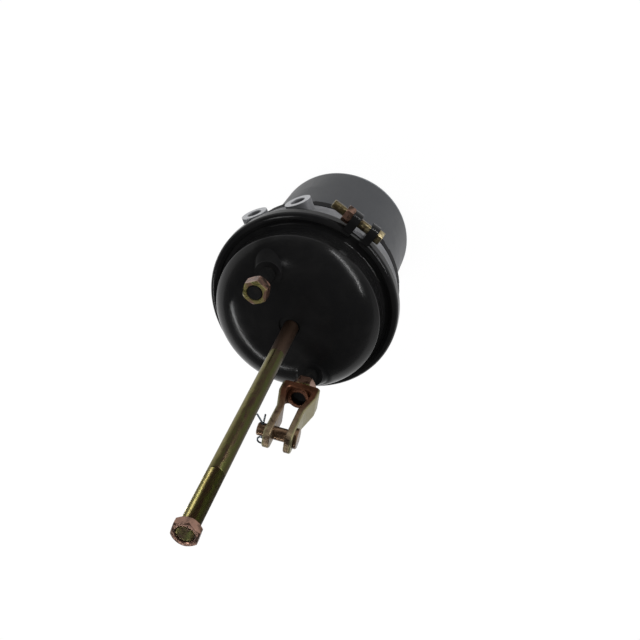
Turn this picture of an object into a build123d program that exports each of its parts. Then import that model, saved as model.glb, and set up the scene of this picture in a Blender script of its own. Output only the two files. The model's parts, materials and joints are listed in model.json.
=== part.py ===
from build123d import *
import math
import os

# Spring brake chamber, type 30, in millimetres. +Z is the push rod's stroke.
# Origin: centre of the service bowl's flat mounting face. +X points at mounting stud 1 and along the ports.

# Clearances
RUN = 0.3             # between pieces that move past each other
FIT = 0.05            # radial, in turned fits and threaded joints
SEAT = 0.02           # between faces that bear on each other

# Service bowl, pressed steel
WALL = 3.2
FACE_R = 45.0         # flat middle of the front
DOME_R = 50.0         # radius of the slope from the flat to the side
SIDE_R = 89.3
CORNER_R = 3.5
BOWL_H = 51.4         # mounting face to the front of the clamped rim
FLARE_R = 5.0
RIM_R = 100.0         # clamped rims of the bowl and the flange case
RIM_T = 4.0
ROD_HOLE_R = 11.5
VENT_R = 3.2
VENT_ANGLES = (100.0, 190.0)

# Mounting studs, M16 x 1.5
STUD_PITCH = 120.65
STUD_R = 8.0
THREAD_R = 7.85       # studs and rod inside their nuts
STUD_H = 43.8
STUD_NECK_R = 8.8     # pressed into the bowl's wall
STUD_HEAD_R = 11.5
STUD_HEAD_T = 4.0
NUT_AF = 23.0
STUD_NUT_H = 14.0
SEAT_PAD_R = 14.0     # flat pads pressed up round the studs
SEAT_PAD_H = 19.0
SEAT_PAD_DRAFT = 25.0
SEAT_PAD_BLEND = 5.0    # foot of the pads

# Push rod, return spring, diaphragm
STROKE = 64.0
ROD_R = 8.0
ROD_END_Z = 309.2
TIP_NUT_AF = 22.0     # small-series jam nut
ROD_LEAN = 1.93       # the unloaded rod leans in its hole
ROD_LEAN_DIR = 190.1  # degrees from +X
ROD_RECESS = 1.0      # the rod's end lies this far inside the jam nut
TIP_NUT_H = 8.0
TIP_NUT_TURN = 20.0
PLATE_R = 50.0
PLATE_T = 4.0
PLATE_LIP = 2.5
HUB_R = 14.0
HUB_H = 7.0
DIAPH_T = 4.0
RETURN_WIRE_R = 2.2
RETURN_TURNS = 4.0
RETURN_TOP_R = 24.0
RETURN_FOOT_R = 36.0
RETURN_SOLID = 10.0   # height of the return spring pressed flat

# V clamp, one piece with one bolted joint
CLAMP_R = 104.5
CLAMP_T = 3.0
CLAMP_LEG_R = 94.8
CLAMP_CORNER_R = 6.0
CLAMP_SLOPE = 1.6     # fall of the legs towards the lips
JOINT_ANGLE = -55.5
LUG_GAP = 12.5
LUG_T = 9.25
LUG_W = 20.0
LUG_TOP_R = 122.0
BOLT_AXIS_R = 113.5
BOLT_R = 5.0
BOLT_AF = 16.0
BOLT_HEAD_AF = 14.0
BOLT_HEAD_H = 6.5
BOLT_NUT_H = 8.5
BOLT_TAIL = 15.0

# Flange case, cast aluminium, with the two ports
CASE_R = 99.5
CASE_REAR_R = 96.5
NECK_R = 93.5
WEB_T = 16.0
PORT_Y = 26.0
PORT_X = 102.5
PORT_BOSS_R = 14.5
PORT_R = 7.25         # wall of the M16 x 1.5 thread
PORT_DEPTH = 18.0
PORT_CHAMFER = 1.2
PASSAGE_R = 3.0

# Spring housing and the ring that locks it to the case
HOUSING_R = 82.5
HOUSING_WALL = 3.0
HOUSING_END_Z = -247.0
HOUSING_END_R = 7.0
LOCK_FLANGE_R = 92.4
LOCK_FLANGE_T = 4.0
RING_R = 96.0
RING_T = 3.0
RING_NOTCHES = 12
RECESS_R = 22.0
RECESS_DEPTH = 15.0

# Power piston, spring and release bolt
PISTON_T = 6.0
SKIRT_H = 16.0
SKIRT_T = 8.0
O_RING_R = 2.5
GUIDE_W = 5.0
GUIDE_T = 2.0
TUBE_R = 13.0
SEAL_T = 4.0
SEAL_H = 8.0
TUBE_BORE_R = 8.5
WIRE_SIDES = 8        # the coils' wire is drawn as an octagon
PAD_R = 24.0
PAD_T = 4.0
POWER_WIRE_R = 5.5
POWER_TURNS = 4.25
POWER_MEAN_R = 60.0
RELEASE_R = 6.0
RELEASE_END_R = 7.8
RELEASE_AF = 19.0
RELEASE_HEAD_H = 8.0

# Clevis carried on stud 2
CLEVIS_FLOOR_Z = 44.0
CLEVIS_FLOOR_T = 9.0
CLEVIS_HUB_R = 11.2
CLEVIS_HUB_Z = 47.0
CLEVIS_BEND_R = 12.0
CLEVIS_EDGE = 1.0
CLEVIS_DEPTH = 23.0
CLEVIS_SPREAD = 39.0
CLEVIS_INSIDE = 25.0
SPREAD_END_Z = 54.0
EAR_START_Z = 80.0
EAR_GAP = 14.0
EAR_T = 7.0
EAR_REACH = 16.5      # pin axis to the ears' ends
EAR_CORNER = 9.0
PIN_Z = 110.0
PIN_R = 6.5
PIN_HEAD_R = 10.0
PIN_HEAD_T = 3.5
PIN_TAIL = 9.0
PIN_ANGLE = 60.5      # pin axis, degrees from +X
SPLIT_R = 1.6
SPLIT_WIRE_R = 0.9
SPLIT_EYE_R = 3.4
SPLIT_TAIL = 11.0

# Derived places
STUD_X = STUD_PITCH / 2
STUD_2_NUT_Z = CLEVIS_FLOOR_Z - CLEVIS_FLOOR_T - STUD_NUT_H - 0.02   # locks the clevis
INSIDE_R = SIDE_R - WALL
BEAD_Z = -(BOWL_H + RIM_T)                    # clamped faces of the diaphragm's bead
CLAMP_Z = BEAD_Z - DIAPH_T / 2
CASE_Z = BEAD_Z - DIAPH_T
CLAMP_SEAT = RIM_T + DIAPH_T / 2 + SEAT       # from the clamp's middle to its legs
CLAMP_HALF = CLAMP_SEAT + CLAMP_T + 0.6
PORT_Z = CLAMP_Z - CLAMP_HALF - RUN - PORT_BOSS_R
LOCK_TOP_Z = PORT_Z - PORT_BOSS_R - RUN       # front of the lock ring
CASE_REAR_Z = LOCK_TOP_Z - RING_T - SEAT - LOCK_FLANGE_T
PLATE_FRONT_Z = -WALL - RETURN_SOLID - STROKE
PLATE_BACK_Z = PLATE_FRONT_Z - PLATE_T
TILT_DROP = PLATE_R * math.sin(math.radians(ROD_LEAN)) + RUN
FLOOR_Z = PLATE_BACK_Z - TILT_DROP            # diaphragm's front face at the centre
WEB_Z = FLOOR_Z - DIAPH_T - SEAT
PAD_Z = WEB_Z - RUN                           # contact pad's front face
PAD_FLOOR_Z = PAD_Z - PAD_T - RUN
WEB_REAR_Z = PAD_FLOOR_Z - WEB_T
CASE_SKIRT_Z = CASE_REAR_Z - 6.0              # end of the case inside the housing
PISTON_Z = min(WEB_REAR_Z, CASE_SKIRT_Z) - STROKE - 2 * RUN
BORE_R = HOUSING_R - HOUSING_WALL
RECESS_Z = HOUSING_END_Z + RECESS_DEPTH
EAR_OUT = EAR_GAP / 2 + EAR_T
CASE_RING_Z = CASE_REAR_Z - 1.5
SEAL_Z = WEB_REAR_Z + SEAL_H
O_RING_Z = PISTON_Z - O_RING_R - 3.0
GUIDE_Z = PISTON_Z - SKIRT_H + GUIDE_W / 2 + 1.5


def turned(*points):
    """Solid of revolution about Z through (radius, z) corners."""
    return revolve(make_face(Polyline(*[(r, 0, z) for r, z in points], close=True)), Axis.Z)


def bar(radius, z0, z1, x=0.0, y=0.0):
    return Pos(x, y, (z0 + z1) / 2) * Cylinder(radius, abs(z1 - z0))


def tube(outer, inner, z0, z1):
    return bar(outer, z0, z1) - bar(inner, z0 - 1, z1 + 1)


def hex_prism(af, height):
    """Hexagon from z 0 to the height, with both ends turned."""
    corner = af / math.sqrt(3)
    turned_blank = chamfer(bar(corner, 0, height).edges().filter_by(GeomType.CIRCLE), (corner - af / 2) * 0.9)
    return extrude(RegularPolygon(corner, 6), height) & turned_blank


def hex_nut(af, height, bore):
    nut = hex_prism(af, height) - bar(bore, -1, height + 1)
    mouths = nut.edges().filter_by(lambda e: e.geom_type == GeomType.CIRCLE and abs(e.radius - bore) < 1e-3)
    return chamfer(mouths, 0.7)


def coil(wire, turns, z0, z1, r0, r1):
    """Open coil spring that fills z0 to z1, mean radius r0 below and r1 above."""
    height = z1 - z0 - 2 * wire
    cone = math.degrees(math.atan2(r1 - r0, height))
    helix = Helix(pitch=height / turns, height=height, radius=r0, cone_angle=cone)
    section = Plane(origin=helix @ 0, z_dir=helix % 0) * RegularPolygon(wire, WIRE_SIDES)
    return Pos(0, 0, z0 + wire) * sweep(section, path=helix, is_frenet=True)


def bowl_form(off):
    """The bowl's form as a solid, at a depth inside its outer face, with the two stud pads."""
    side, dome = SIDE_R - off, DOME_R - off
    rise = math.sqrt(dome ** 2 - (side - FACE_R) ** 2)
    half = math.atan2(side - FACE_R, rise) / 2
    mid = (FACE_R + dome * math.sin(half), 0, -DOME_R + dome * math.cos(half))
    corner = (side, 0, rise - DOME_R)
    foot, axis_foot = (side, 0, BEAD_Z), (0, 0, BEAD_Z)
    face = make_face(Wire([Line((0, 0, -off), (FACE_R, 0, -off)), ThreePointArc((FACE_R, 0, -off), mid, corner),
                           Line(corner, foot), Line(foot, axis_foot), Line(axis_foot, (0, 0, -off))]))
    form = revolve(face, Axis.Z)
    spread = SEAT_PAD_H * math.tan(math.radians(SEAT_PAD_DRAFT))
    top = SEAT_PAD_R - off * math.tan(math.radians(45 - SEAT_PAD_DRAFT / 2))
    pad = Pos(0, 0, -off - SEAT_PAD_H / 2) * Cone(top + spread, top, SEAT_PAD_H)
    for side_of in (1, -1):
        form += Pos(side_of * STUD_X, 0, 0) * pad
    return fillet(form.edges().filter_by(at_pad_foot), SEAT_PAD_BLEND + off)


def at_pad_foot(edge):
    """Whether an edge is where a stud pad's side leaves the dome, outside the middle of the bowl."""
    box, place = edge.bounding_box(), edge.center()
    return abs(place.X) > FACE_R and abs(place.Y) < SEAT_PAD_R / 2 and box.size.Y > SEAT_PAD_R and box.max.Z < 1 \
        and box.size.Z > 2 and box.size.Y < 4 * SEAT_PAD_R


def ring_edges(shape, radius, z):
    """Circular edges about Z of one radius at one height."""
    return shape.edges().filter_by(lambda e: e.geom_type == GeomType.CIRCLE and abs(e.radius - radius) < 1e-3
                                   and abs(e.center().Z - z) < 1e-3)


def build_bowl():
    outer = bowl_form(0)
    corner_z = math.sqrt(DOME_R ** 2 - (SIDE_R - FACE_R) ** 2) - DOME_R
    outer = fillet(ring_edges(outer, SIDE_R, corner_z), CORNER_R)
    outer += bar(RIM_R, BEAD_Z, -BOWL_H)
    outer = fillet(ring_edges(outer, SIDE_R, -BOWL_H), FLARE_R)
    bowl = outer - bowl_form(WALL) - bar(ROD_HOLE_R, -WALL - 1, 1)
    for side in (1, -1):
        bowl -= bar(STUD_NECK_R + FIT, -WALL - 1, 1, side * STUD_X)
    for angle in VENT_ANGLES:
        bowl -= Rot(0, 0, angle) * Pos(SIDE_R, 0, FLARE_R + VENT_R + 5 - BOWL_H) * Rot(0, 90, 0) * Cylinder(
            VENT_R, 4 * WALL)
    return bowl


def build_stud(side, nut_z):
    x = side * STUD_X
    stem = bar(STUD_NECK_R, -WALL - SEAT, 0, x) + bar(STUD_R, 0, nut_z, x) + bar(THREAD_R, nut_z, STUD_H, x)
    stem = chamfer(stem.edges().group_by(Axis.Z)[-1], 1.0)
    head = bar(STUD_HEAD_R, -WALL - SEAT - STUD_HEAD_T, -WALL - SEAT, x)
    return stem + head


def stud_nut(side, nut_z, turn):
    return Pos(side * STUD_X, 0, nut_z) * Rot(0, 0, turn) * hex_nut(NUT_AF, STUD_NUT_H, THREAD_R + FIT)


def leaning(shape):
    """Turns a piece built on the Z axis to the resting lean, about the middle of the push plate's back."""
    lean = Rot(0, 0, ROD_LEAN_DIR) * Rot(0, ROD_LEAN, 0) * Rot(0, 0, -ROD_LEAN_DIR)
    return Pos(0, 0, PLATE_BACK_Z) * lean * Pos(0, 0, -PLATE_BACK_Z) * shape


def build_push_rod():
    nut_z = ROD_END_Z + ROD_RECESS - TIP_NUT_H
    rod = bar(ROD_R, PLATE_FRONT_Z, nut_z) + bar(THREAD_R, nut_z, ROD_END_Z)
    return leaning(chamfer(rod.edges().group_by(Axis.Z)[-1], 1.0))


def build_push_plate():
    top, back = PLATE_FRONT_Z, PLATE_BACK_Z
    return leaning(turned(
        (0, back), (PLATE_R - 2, back), (PLATE_R, back + 2), (PLATE_R, top + PLATE_LIP),
        (PLATE_R - PLATE_T / 2, top + PLATE_LIP), (PLATE_R - PLATE_T, top), (HUB_R, top),
        (HUB_R - 2, top + HUB_H), (ROD_R + SEAT, top + HUB_H), (ROD_R + SEAT, top - SEAT), (0, top - SEAT)))


def build_tip_nut():
    nut = Rot(0, 0, TIP_NUT_TURN) * hex_nut(TIP_NUT_AF, TIP_NUT_H, THREAD_R + FIT)
    return leaning(Pos(0, 0, ROD_END_Z + ROD_RECESS - TIP_NUT_H) * nut)


def build_return_spring():
    foot = PLATE_FRONT_Z + RETURN_FOOT_R * math.sin(math.radians(ROD_LEAN)) + 2 * RUN
    return coil(RETURN_WIRE_R, RETURN_TURNS, foot, -WALL - RUN, RETURN_FOOT_R, RETURN_TOP_R)


def build_diaphragm():
    over, under = BEAD_Z - SEAT, CASE_Z + SEAT
    return turned((0, FLOOR_Z), (PLATE_R + 7, FLOOR_Z), (INSIDE_R - 6, over), (RIM_R - 1, over),
                  (RIM_R - 1, under), (INSIDE_R - 3, under), (PLATE_R + 9, WEB_Z + SEAT), (0, WEB_Z + SEAT))


def clamp_section():
    """Half of the rolled V section, as a wire's lines from the inner lip to the crown's middle."""
    z, r, h, seat, c = CLAMP_Z, CLAMP_R, CLAMP_HALF, CLAMP_SEAT, CLAMP_CORNER_R
    lip, sine = CLAMP_LEG_R, math.sqrt(0.5)
    half = []
    for s in (1, -1):
        tip = (lip, 0, z + s * (h - CLAMP_SLOPE - 1))
        over = (lip + 0.3, 0, z + s * (h - CLAMP_SLOPE - 0.3))
        start = (lip + 1, 0, z + s * (h - CLAMP_SLOPE))
        turn_in, middle = (r - c, 0, z + s * h), (r - c + c * sine, 0, z + s * (h - c + c * sine))
        half += [Line((lip, 0, z + s * seat), tip), ThreePointArc(tip, over, start), Line(start, turn_in),
                 ThreePointArc(turn_in, middle, (r, 0, z + s * (h - c))), Line((r, 0, z + s * (h - c)), (r, 0, z)),
                 Line((lip, 0, z + s * seat), (r - CLAMP_T, 0, z + s * seat)),
                 Line((r - CLAMP_T, 0, z + s * seat), (r - CLAMP_T, 0, z))]
    return make_face(Wire(half))


def build_clamp():
    band = revolve(clamp_section(), Axis.Z)
    turn = Rot(0, 0, JOINT_ANGLE)
    band -= turn * Pos(CLAMP_R, 0, CLAMP_Z) * Box(40, LUG_GAP, 3 * CLAMP_HALF)
    foot = CLAMP_R - CLAMP_T + 0.5
    for side in (1, -1):
        y = side * (LUG_GAP + LUG_T) / 2
        lug = Pos((foot + LUG_TOP_R) / 2, y, CLAMP_Z) * Box(LUG_TOP_R - foot, LUG_T, LUG_W)
        lug = fillet(lug.edges().filter_by(Axis.Y).group_by(Axis.X)[-1], LUG_W * 0.45)
        lug -= Pos(BOLT_AXIS_R, y, CLAMP_Z) * Rot(90, 0, 0) * Cylinder(BOLT_R + FIT, LUG_T + 2)
        band += turn * lug
    return band


def on_joint(shape):
    """Puts a piece built on Z on the clamp bolt's axis, with +Z towards the nut and 0 midway between the lugs."""
    return Rot(0, 0, JOINT_ANGLE) * Pos(BOLT_AXIS_R, 0, CLAMP_Z) * Rot(-90, 0, 0) * shape


def build_clamp_bolt():
    lug_face = LUG_GAP / 2 + LUG_T + SEAT
    shank = bar(BOLT_R, -lug_face, lug_face + BOLT_NUT_H + BOLT_TAIL)
    shank = chamfer(shank.edges().group_by(Axis.Z)[-1], 1.0)
    return on_joint(shank + Pos(0, 0, -lug_face - BOLT_HEAD_H) * hex_prism(BOLT_HEAD_AF, BOLT_HEAD_H))


def build_clamp_nut():
    return on_joint(Pos(0, 0, LUG_GAP / 2 + LUG_T + SEAT) * Rot(0, 0, 15) * hex_nut(BOLT_AF, BOLT_NUT_H, BOLT_R + FIT))


def build_case():
    f, b = CASE_Z, CASE_REAR_Z
    leg, flange = CASE_Z - RIM_T, b + LOCK_FLANGE_T
    groove = flange + RING_T + SEAT
    pilot = BORE_R - RUN
    core = turned(
        (TUBE_R + RUN, PAD_FLOOR_Z), (PAD_R + RUN, PAD_FLOOR_Z), (PAD_R + RUN, WEB_Z), (PLATE_R + 9.5, WEB_Z),
        (INSIDE_R - 2, f), (RIM_R, f), (RIM_R, leg), (NECK_R, leg), (NECK_R, CLAMP_Z - CLAMP_HALF - RUN),
        (CASE_R - 1.5, CLAMP_Z - CLAMP_HALF - RUN), (CASE_R, CLAMP_Z - CLAMP_HALF - 2), (CASE_REAR_R, groove + 1.5),
        (CASE_REAR_R - 1.5, groove), (LOCK_FLANGE_R - 4, groove), (LOCK_FLANGE_R - 4, flange), (LOCK_FLANGE_R, flange),
        (LOCK_FLANGE_R, b), (pilot, b), (pilot, CASE_RING_Z), (pilot - 2.5, CASE_RING_Z),
        (pilot - 2.5, CASE_RING_Z - 3), (pilot, CASE_RING_Z - 3), (pilot, CASE_SKIRT_Z), (pilot - 8, CASE_SKIRT_Z), (pilot - 12, b + 5),
        (PAD_R + 16, b + 2), (TUBE_R + 12, WEB_REAR_Z), (TUBE_R + SEAL_T, WEB_REAR_Z), (TUBE_R + SEAL_T, SEAL_Z),
        (TUBE_R + RUN, SEAL_Z))
    for y in (PORT_Y, -PORT_Y):
        depth = PORT_X - CASE_REAR_R + 10.5
        core += Pos(PORT_X - depth / 2, y, PORT_Z) * Rot(0, 90, 0) * Cylinder(PORT_BOSS_R, depth)
    for y in (PORT_Y, -PORT_Y):
        core -= Pos(PORT_X - PORT_DEPTH / 2, y, PORT_Z) * Rot(0, 90, 0) * Cylinder(PORT_R, PORT_DEPTH)
        core -= Pos(PORT_X - PORT_CHAMFER / 2, y, PORT_Z) * Rot(0, 90, 0) * Cone(
            PORT_R, PORT_R + PORT_CHAMFER, PORT_CHAMFER)
    return core


def build_tube_seal():
    return tube(TUBE_R + SEAL_T - FIT, TUBE_R + FIT, WEB_REAR_Z + SEAT, SEAL_Z - SEAT)


def build_case_o_ring():
    return tube(BORE_R - FIT, BORE_R - RUN - 2.5 + FIT, CASE_RING_Z - 3 + FIT, CASE_RING_Z - FIT)


def build_lock_ring():
    top = CASE_REAR_Z + LOCK_FLANGE_T + SEAT
    low = CASE_REAR_Z - HOUSING_WALL - 2 * SEAT
    inner = RING_R - RING_T
    ring = turned((LOCK_FLANGE_R - 3.5, top), (inner, top), (inner, low), (HOUSING_R + 3, low),
                  (HOUSING_R + 3, low - RING_T), (RING_R - 1.5, low - RING_T), (RING_R, low - RING_T + 1.5),
                  (RING_R, top + RING_T - 1.5), (RING_R - 1.5, top + RING_T), (LOCK_FLANGE_R - 3.5, top + RING_T))
    notch = Pos(RING_R, 0, low - RING_T + 1.5) * Box(2.4, 9, 3)
    for i in range(RING_NOTCHES):
        ring -= Rot(0, 0, 360 / RING_NOTCHES * i + 12) * notch
    return ring


def build_housing():
    face, end, t = CASE_REAR_Z - SEAT, HOUSING_END_Z, HOUSING_WALL
    r, er = HOUSING_R, HOUSING_END_R
    sine = math.sqrt(0.5)
    recess_out, recess_in = RECESS_R, RECESS_R + t
    lines = [Line((BORE_R, 0, face), (LOCK_FLANGE_R, 0, face)), Line((LOCK_FLANGE_R, 0, face), (LOCK_FLANGE_R, 0, face - t)),
             Line((LOCK_FLANGE_R, 0, face - t), (r, 0, face - t)), Line((r, 0, face - t), (r, 0, end + er)),
             ThreePointArc((r, 0, end + er), (r - er * (1 - sine), 0, end + er * (1 - sine)), (r - er, 0, end)),
             Line((r - er, 0, end), (recess_out, 0, end)), Line((recess_out, 0, end), (recess_out, 0, RECESS_Z)),
             Line((recess_out, 0, RECESS_Z), (RELEASE_R + FIT, 0, RECESS_Z)),
             Line((RELEASE_R + FIT, 0, RECESS_Z), (RELEASE_R + FIT, 0, RECESS_Z + t)),
             Line((RELEASE_R + FIT, 0, RECESS_Z + t), (recess_in, 0, RECESS_Z + t)),
             Line((recess_in, 0, RECESS_Z + t), (recess_in, 0, end + t)), Line((recess_in, 0, end + t), (r - er, 0, end + t)),
             ThreePointArc((r - er, 0, end + t), (r - er + (er - t) * sine, 0, end + er - (er - t) * sine),
                           (BORE_R, 0, end + er)), Line((BORE_R, 0, end + er), (BORE_R, 0, face))]
    return revolve(make_face(Wire(lines)), Axis.Z)


def build_piston():
    r, top = BORE_R - RUN, PISTON_Z
    back = top - PISTON_T
    body = turned((TUBE_R + FIT, top), (r - 2, top), (r, top - 2), (r, top - SKIRT_H), (r - SKIRT_T, top - SKIRT_H),
                  (r - SKIRT_T, back - 2), (r - SKIRT_T - 2, back), (TUBE_R + 10, back), (TUBE_R + 8, back - 8),
                  (TUBE_R + FIT, back - 8))
    body -= tube(r + 1, BORE_R - 2 * (FIT + O_RING_R), O_RING_Z - O_RING_R - RUN, O_RING_Z + O_RING_R + RUN)
    body -= tube(r + 1, r - GUIDE_T, GUIDE_Z - GUIDE_W / 2 - RUN, GUIDE_Z + GUIDE_W / 2 + RUN)
    return body


def build_piston_seal():
    outer, flat = BORE_R - FIT, O_RING_R - 1
    inner = outer - 2 * O_RING_R
    return turned((inner, O_RING_Z - flat), (inner + 1, O_RING_Z - O_RING_R), (outer - 1, O_RING_Z - O_RING_R),
                  (outer, O_RING_Z - flat), (outer, O_RING_Z + flat), (outer - 1, O_RING_Z + O_RING_R),
                  (inner + 1, O_RING_Z + O_RING_R), (inner, O_RING_Z + flat))


def build_guide_ring():
    return tube(BORE_R - FIT, BORE_R - RUN - GUIDE_T + SEAT, GUIDE_Z - GUIDE_W / 2, GUIDE_Z + GUIDE_W / 2)


def build_piston_tube():
    foot = PISTON_Z - PISTON_T - 8
    body = bar(TUBE_R, foot, PAD_Z - PAD_T) - bar(TUBE_BORE_R, foot + 4, PAD_Z - PAD_T - 6)
    return body - bar(RELEASE_R + 2 * RUN, foot - 1, foot + 5)


def build_pad():
    return chamfer(bar(PAD_R, PAD_Z - PAD_T + SEAT, PAD_Z).edges().filter_by(GeomType.CIRCLE), 0.8)


def build_power_spring():
    return coil(POWER_WIRE_R, POWER_TURNS, HOUSING_END_Z + HOUSING_WALL + RUN, PISTON_Z - PISTON_T - RUN,
                POWER_MEAN_R, POWER_MEAN_R)


def build_release_bolt():
    top = PAD_Z - PAD_T - 6 - 2
    stem = bar(RELEASE_R, RECESS_Z - SEAT, top - 4) + bar(RELEASE_END_R, top - 4, top)
    return stem + Pos(0, 0, RECESS_Z - SEAT - RELEASE_HEAD_H) * hex_prism(RELEASE_AF, RELEASE_HEAD_H)


def build_release_nut():
    face = RECESS_Z + HOUSING_WALL + SEAT
    return Pos(0, 0, face) * hex_nut(RELEASE_AF + 5, 9, RELEASE_R + FIT)


def on_clevis(shape):
    """From the clevis's own frame, X along the pin and Z up from the mounting face, to stud 2."""
    return Pos(-STUD_X, 0, 0) * Rot(0, 0, PIN_ANGLE) * shape


def build_clevis():
    """Forged fork with bent legs: rounded in outline and along its edges, and a hub round the bore."""
    low, floor, top = CLEVIS_FLOOR_Z - CLEVIS_FLOOR_T, CLEVIS_FLOOR_Z, PIN_Z + EAR_REACH
    out, inn, gap = CLEVIS_SPREAD / 2, CLEVIS_INSIDE / 2, EAR_GAP / 2
    half = [(out, low), (out, SPREAD_END_Z), (EAR_OUT, EAR_START_Z), (EAR_OUT, top),
            (gap, top), (gap, EAR_START_Z - 3), (inn, SPREAD_END_Z - 1), (inn, floor)]
    outline = half + [(-x, z) for x, z in reversed(half)]
    flat = make_face(Polyline(*outline, close=True))
    bends = flat.vertices().filter_by(lambda v: floor + 1 < v.Y < top - 1)
    flat = fillet(bends, CLEVIS_BEND_R)
    flat = fillet(flat.vertices().filter_by(lambda v: abs(v.Y - floor) < 0.1), 4)
    flat = fillet(flat.vertices().filter_by(lambda v: abs(v.Y - low) < 0.1), 5)
    fork = extrude(Plane.XZ * flat, CLEVIS_DEPTH / 2, both=True)
    side = Pos(0, 0, (low + top) / 2) * Box(2 * out + 2, CLEVIS_DEPTH, top - low)
    fork &= fillet(side.edges().filter_by(Axis.X).group_by(Axis.Z)[-1], EAR_CORNER)
    rims = fork.edges().filter_by(lambda e: abs(abs(e.center().Y) - CLEVIS_DEPTH / 2) < 1e-3
                                  and all(abs(abs(v.Y) - CLEVIS_DEPTH / 2) < 1e-3 for v in e.vertices()))
    fork = chamfer(rims.filter_by(lambda e: e.center().Z < top - EAR_CORNER - 0.5), CLEVIS_EDGE)
    fork += bar(CLEVIS_HUB_R, low, CLEVIS_HUB_Z)
    fork -= bar(THREAD_R + FIT, low - 1, CLEVIS_HUB_Z + 1)
    fork -= Pos(0, 0, PIN_Z) * Rot(0, 90, 0) * Cylinder(PIN_R + FIT, 3 * out)
    return on_clevis(fork)


def build_clevis_pin():
    end = EAR_OUT + PIN_TAIL
    pin = bar(PIN_R, -EAR_OUT - FIT, end)
    pin = chamfer(pin.edges().group_by(Axis.Z)[-1], 1.0) + chamfer(
        bar(PIN_HEAD_R, -EAR_OUT - FIT - PIN_HEAD_T, -EAR_OUT - FIT).edges().group_by(Axis.Z)[0], 0.8)
    pin -= Pos(0, 0, EAR_OUT + PIN_TAIL / 2) * Rot(90, 0, 0) * Cylinder(SPLIT_R + FIT, 3 * PIN_R)
    return on_clevis(Pos(0, 0, PIN_Z) * Rot(0, 90, 0) * pin)


def build_split_pin():
    """Folded wire: an eye on one side of the pin, two spread tails on the other."""
    reach = PIN_R + SPLIT_WIRE_R
    body = Pos(0, 0, 1) * Cylinder(SPLIT_R, 2 * reach + 2)
    body += Pos(0, 0, reach + 2 + SPLIT_EYE_R) * Rot(90, 0, 0) * Torus(SPLIT_EYE_R, SPLIT_WIRE_R)
    for s, spread in ((1, 36), (-1, 4)):
        tail = Pos(0, 0, -SPLIT_TAIL / 2) * Cylinder(SPLIT_WIRE_R, SPLIT_TAIL)
        body += Pos(s * 0.4, 0, 0.3 - reach) * Rot(0, -s * spread, 0) * tail
    x = EAR_OUT + PIN_TAIL / 2
    return on_clevis(Pos(x, 0, PIN_Z) * Rot(-90, 0, 0) * body)


PARTS = {
    "service_bowl": build_bowl,
    "mounting_stud_1": lambda: build_stud(1, STUD_H - STUD_NUT_H),
    "mounting_stud_2": lambda: build_stud(-1, STUD_2_NUT_Z),
    "stud_nut_1": lambda: stud_nut(1, STUD_H - STUD_NUT_H, 28),
    "stud_nut_2": lambda: stud_nut(-1, STUD_2_NUT_Z, 0),
    "push_rod": build_push_rod,
    "push_plate": build_push_plate,
    "push_rod_nut": build_tip_nut,
    "return_spring": build_return_spring,
    "service_diaphragm": build_diaphragm,
    "clamp_band": build_clamp,
    "clamp_bolt": build_clamp_bolt,
    "clamp_nut": build_clamp_nut,
    "flange_case": build_case,
    "tube_seal": build_tube_seal,
    "housing_o_ring": build_case_o_ring,
    "lock_ring": build_lock_ring,
    "spring_housing": build_housing,
    "power_piston": build_piston,
    "piston_seal": build_piston_seal,
    "piston_guide_ring": build_guide_ring,
    "piston_tube": build_piston_tube,
    "contact_pad": build_pad,
    "power_spring": build_power_spring,
    "release_bolt": build_release_bolt,
    "release_nut": build_release_nut,
    "clevis": build_clevis,
    "clevis_pin": build_clevis_pin,
    "split_pin": build_split_pin,
}


os.makedirs("parts", exist_ok=True)
for name, build in PARTS.items():
    piece = build()
    piece.label = name
    export_step(piece, f"parts/{name}.step")
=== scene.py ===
"""Air brake chamber: threads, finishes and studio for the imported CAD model, laid out as a Blender add-on."""
import json
import math

import bmesh
import bpy
from bpy.props import FloatProperty, FloatVectorProperty, IntProperty, PointerProperty
from mathutils import Matrix, Vector


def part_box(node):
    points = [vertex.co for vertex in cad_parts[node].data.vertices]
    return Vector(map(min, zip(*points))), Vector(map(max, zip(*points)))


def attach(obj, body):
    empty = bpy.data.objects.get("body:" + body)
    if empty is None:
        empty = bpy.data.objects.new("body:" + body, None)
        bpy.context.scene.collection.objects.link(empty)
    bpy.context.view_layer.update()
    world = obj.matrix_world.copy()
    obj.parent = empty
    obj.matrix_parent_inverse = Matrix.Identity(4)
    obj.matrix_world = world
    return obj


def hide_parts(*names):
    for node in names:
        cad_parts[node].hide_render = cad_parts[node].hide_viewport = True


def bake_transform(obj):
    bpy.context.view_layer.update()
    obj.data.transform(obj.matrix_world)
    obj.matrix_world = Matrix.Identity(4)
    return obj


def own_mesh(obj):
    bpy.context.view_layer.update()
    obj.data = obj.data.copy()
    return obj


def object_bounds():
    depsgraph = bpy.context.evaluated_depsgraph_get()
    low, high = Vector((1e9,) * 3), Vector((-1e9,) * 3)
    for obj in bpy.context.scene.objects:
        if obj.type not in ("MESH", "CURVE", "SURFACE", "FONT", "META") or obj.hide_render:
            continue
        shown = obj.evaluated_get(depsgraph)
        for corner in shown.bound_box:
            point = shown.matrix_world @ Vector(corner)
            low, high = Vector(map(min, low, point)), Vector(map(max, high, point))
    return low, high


bl_info = {
    "name": "Air brake chamber",
    "version": (1, 0, 0),
    "blender": (4, 5, 0),
    "location": "3D View > Sidebar > Brake chamber",
    "description": "Adds the threads, finishes and studio of a spring brake chamber to its CAD frame",
    "category": "Object",
}

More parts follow.
